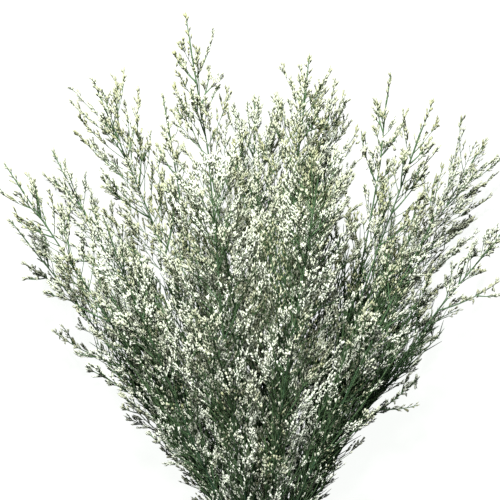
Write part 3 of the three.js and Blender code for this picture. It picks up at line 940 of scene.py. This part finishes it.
def stem_material(look):
    """Dry green stems: ribbed along, dark near the band with painted shade of the bunch's heart mixed into
    their own deeper green, greyer and lighter high up, lighter where thin, with pale pith at the cut ends.
    """
    made, nodes, surface = material("Dried stem")
    height, _ = in_bunch(nodes, 40, 0.35)
    thick, around, along = (nodes.attribute(name) for name in ("thick", "around", "along"))
    # Darker near the band: the low colour is partly the stems' own deeper green and partly painted shade of
    # the heart.
    colour = nodes.mix(height, tuple(look.low_colour), tuple(look.high_colour))
    colour = nodes.mix(nodes.span(thick, 0.0009, 0.0003), colour, tuple(look.twig_colour))
    streak = {"X": nodes.maths("MULTIPLY", around, 6.0), "Y": nodes.maths("MULTIPLY", along, 60)}
    fibre = nodes.noise(nodes.add("CombineXYZ", None, **streak).outputs["Vector"], 3.0, 3.0)
    colour = nodes.mix(nodes.span(fibre, 0.4, 0.8, 0.0, 0.15), colour, FIBRE_COLOUR)
    place = nodes.add("TexCoord").outputs["Object"]
    y = nodes.add("SeparateXYZ", None, Vector=place).outputs["Y"]
    facing = nodes.add("SeparateXYZ", None, Vector=nodes.add("NewGeometry").outputs["Normal"]).outputs["Y"]
    cut = nodes.maths("MULTIPLY", nodes.span(facing, -0.9, -0.97), nodes.span(y, *CUT_ENDS))
    colour = nodes.mix(cut, colour, tuple(look.cut_colour))
    nodes.put(surface.inputs["Base Color"], colour)
    nodes.put(surface.inputs["Roughness"], nodes.span(fibre, 0.2, 0.8, 0.55, 0.8))
    rib = nodes.maths("SINE", nodes.maths("MULTIPLY", around, 2 * math.pi * 7))
    relief = nodes.maths("ADD", nodes.maths("MULTIPLY", rib, 0.5), fibre)
    bump = nodes.add("Bump", None, Height=relief, Strength=0.5, Distance=0.0001)
    nodes.put(surface.inputs["Normal"], bump.outputs["Normal"])
    return made


def floret_material(look):
    """Papery florets: green scales at the foot, darker near the band with painted shade of the bunch's heart,
    and a cream cup above, aged in patches and more so high up, and tinted darker with painted shade in the
    gaps between clumps.
    """
    made, nodes, surface = material("Floret")
    height, patch = in_bunch(nodes, 34, 0.5)
    up, tint = nodes.attribute("up"), nodes.attribute("tint")
    # The tint carries painted shade of the gaps between clumps as well as the ageing of the cups.
    turned = nodes.maths("ADD", nodes.maths("MULTIPLY", tint, 0.6), nodes.maths("MULTIPLY", patch, 0.7))
    turned = nodes.span(nodes.maths("ADD", turned, nodes.maths("MULTIPLY", height, 0.2)), 0.5, 1.05)
    cup = nodes.mix(turned, tuple(look.calyx_colour), tuple(look.aged_colour))
    # Darker foot near the band: partly the scales' own green, partly painted shade of the bunch's heart.
    foot = nodes.mix(height, LOW_BRACT_AND_SHADE_COLOUR, tuple(look.bract_colour))
    colour = nodes.mix(nodes.span(up, 0.12, 0.42), foot, cup)
    place = nodes.add("TexCoord").outputs["Object"]
    speck = nodes.noise(place, 900, 2.0)
    colour = nodes.mix(nodes.span(speck, 0.45, 0.75, 0.0, 0.15), colour, SPECK_COLOUR)
    nodes.put(surface.inputs["Base Color"], colour)
    nodes.put(surface.inputs["Roughness"], nodes.span(up, 0.2, 0.9, 0.6, 0.8))
    bump = nodes.add("Bump", None, Height=speck, Strength=0.4, Distance=0.0001)
    nodes.put(surface.inputs["Normal"], bump.outputs["Normal"])
    return made


def rubber_material(look):
    """Matt natural rubber with a fine grain and some dust."""
    made, nodes, surface = material("Rubber band")
    place = nodes.add("TexCoord").outputs["Object"]
    grain = nodes.noise(place, 700, 3.0)
    dust = nodes.noise(place, 160, 2.0)
    colour = nodes.mix(nodes.span(dust, 0.4, 0.7, 0.0, 0.4), tuple(look.colour), DUST_COLOUR)
    nodes.put(surface.inputs["Base Color"], colour)
    nodes.put(surface.inputs["Roughness"], nodes.span(grain, 0.3, 0.7, 0.42, 0.6))
    bump = nodes.add("Bump", None, Height=grain, Strength=0.3, Distance=0.0001)
    nodes.put(surface.inputs["Normal"], bump.outputs["Normal"])
    return made


class STATICE_OT_stems(bpy.types.Operator):
    """Grow the wiry stems, branches and twigs of every spray"""
    bl_idname = "statice.stems"
    bl_label = "Stems and twigs"

    def execute(self, context):
        dried, tree = stem_material(context.scene.statice_twigs), wire_tree(THIN_WIRE)
        for i, dressing in enumerate(sprays_of(context.scene)):
            name = f"spray_{i + 1:02d}_stems"
            piece = baked(wire_curve(name, dressing.wires), tree, name)
            piece.data.materials.clear()
            piece.data.materials.append(dried)
            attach(piece, "root")
            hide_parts(f"spray_{i + 1:02d}")
        return {"FINISHED"}


class STATICE_OT_florets(bpy.types.Operator):
    """Set the papery florets along the spikes of every spray"""
    bl_idname = "statice.florets"
    bl_label = "Florets"

    def execute(self, context):
        look = context.scene.statice_florets
        papery = floret_material(look)
        forms = bpy.data.collections.new("Floret forms")
        for form in FLORET_FORMS:
            forms.objects.link(floret_form(*form, look.length / FORM_LENGTH))
        tree = scatter_tree(forms)
        for i, dressing in enumerate(sprays_of(context.scene)):
            name = f"spray_{i + 1:02d}_florets"
            piece = baked(floret_points(name, dressing), tree, name)
            piece.data.materials.clear()
            piece.data.materials.append(papery)
            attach(piece, "root")
            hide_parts(f"spray_{i + 1:02d}")
        for form in forms.objects[:]:
            bpy.data.objects.remove(form)
        bpy.data.collections.remove(forms)
        return {"FINISHED"}


class STATICE_OT_band(bpy.types.Operator):
    """Finish the rubber band round the stems"""
    bl_idname = "statice.band"
    bl_label = "Rubber band"

    def execute(self, context):
        band = frame["nodes"]["rubber_band"]
        rubber = rubber_material(context.scene.statice_band)
        for slot in band.material_slots:
            slot.material = rubber
        return {"FINISHED"}


# The stage, in metres: the floor, the light over the tips and what it points at, and the camera.
FLOOR_SIZE, FLOOR_DEPTH, FLOOR_TINT = 12, 0.0004, (0.98, 1.0, 0.98)
KEY_PLACE, KEY_AIM, KEY_SIZE = (-0.2, 1.15, 1.1), (0, 0.28, 0.05), 0.2
KEY_COLOUR, SKY_COLOUR = (1.0, 0.99, 0.97), (0.96, 0.98, 1.0)
CAMERA_X, CAMERA_Y, CAMERA_REACH = -0.0102, 0.310, 100


class STATICE_OT_stage(bpy.types.Operator):
    """Set the pale floor, the lights and the camera that looks down on the bunch"""
    bl_idname = "statice.stage"
    bl_label = "Stage"

    def execute(self, context):
        look = context.scene.statice_stage
        made, nodes, surface = material("Pale floor")
        nodes.put(surface.inputs["Base Color"], tuple(look.floor_colour))
        nodes.put(surface.inputs["Roughness"], 0.9)
        nodes.put(surface.inputs["Emission Color"], FLOOR_TINT)
        seen = nodes.add("LightPath").outputs["Is Camera Ray"]
        nodes.put(surface.inputs["Emission Strength"], nodes.maths("MULTIPLY", seen, look.floor_glow))
        bm = bmesh.new()
        bmesh.ops.create_grid(bm, x_segments=1, y_segments=1, size=FLOOR_SIZE)
        bmesh.ops.translate(bm, verts=bm.verts, vec=(0, 0, -FLOOR_DEPTH))
        mesh = bpy.data.meshes.new("floor")
        bm.to_mesh(mesh)
        bm.free()
        mesh.materials.append(made)
        link(bpy.data.objects.new("floor", mesh))

        world = bpy.data.worlds.new("Soft sky")
        world.use_nodes = True
        sky = world.node_tree.nodes["Background"]
        sky.inputs["Color"].default_value = (*SKY_COLOUR, 1)
        sky.inputs["Strength"].default_value = look.sky_strength
        context.scene.world = world

        light = bpy.data.lights.new("Key", "AREA")
        light.energy, light.shape, light.size = look.key_power, "DISK", KEY_SIZE
        light.color = KEY_COLOUR
        key = link(bpy.data.objects.new("Key", light))
        key.location = KEY_PLACE
        key.rotation_euler = (Vector(KEY_PLACE) - Vector(KEY_AIM)).to_track_quat("Z", "Y").to_euler()

        camera = bpy.data.cameras.new("Camera")
        camera.lens, camera.clip_end = look.lens, CAMERA_REACH
        eye = link(bpy.data.objects.new("Camera", camera))
        eye.location = (CAMERA_X, CAMERA_Y, look.height)
        context.scene.camera = eye
        context.scene.view_settings.view_transform = "Standard"
        return {"FINISHED"}


class STATICE_PT_bunch(bpy.types.Panel):
    """The pieces of the bunch and their settings"""
    bl_idname = "STATICE_PT_bunch"
    bl_label = "Dried statice"
    bl_space_type = "VIEW_3D"
    bl_region_type = "UI"
    bl_category = "Statice"

    def draw(self, context):
        for key, operators in PANEL_ROWS:
            box = self.layout.box()
            group = getattr(context.scene, key)
            for name in group.__annotations__:
                box.prop(group, name)
            for operator in operators:
                box.operator(operator)


PANEL_ROWS = (
    ("statice_twigs", ("statice.stems",)),
    ("statice_florets", ("statice.florets",)),
    ("statice_band", ("statice.band",)),
    ("statice_stage", ("statice.stage",)),
)
GROUPS = {
    "statice_twigs": StaticeTwigs,
    "statice_florets": StaticeFlorets,
    "statice_band": StaticeBand,
    "statice_stage": StaticeStage,
}
CLASSES = (*GROUPS.values(), STATICE_OT_stems, STATICE_OT_florets, STATICE_OT_band, STATICE_OT_stage,
           STATICE_PT_bunch)


def register():
    for cls in CLASSES:
        bpy.utils.register_class(cls)
    for key, group in GROUPS.items():
        setattr(bpy.types.Scene, key, bpy.props.PointerProperty(type=group))


def unregister():
    for key in GROUPS:
        delattr(bpy.types.Scene, key)
    for cls in reversed(CLASSES):
        bpy.utils.unregister_class(cls)


def main():
    register()
    bpy.ops.statice.stems()
    bpy.ops.statice.florets()
    bpy.ops.statice.band()
    bpy.ops.statice.stage()


if __name__ == "__main__":
    main()
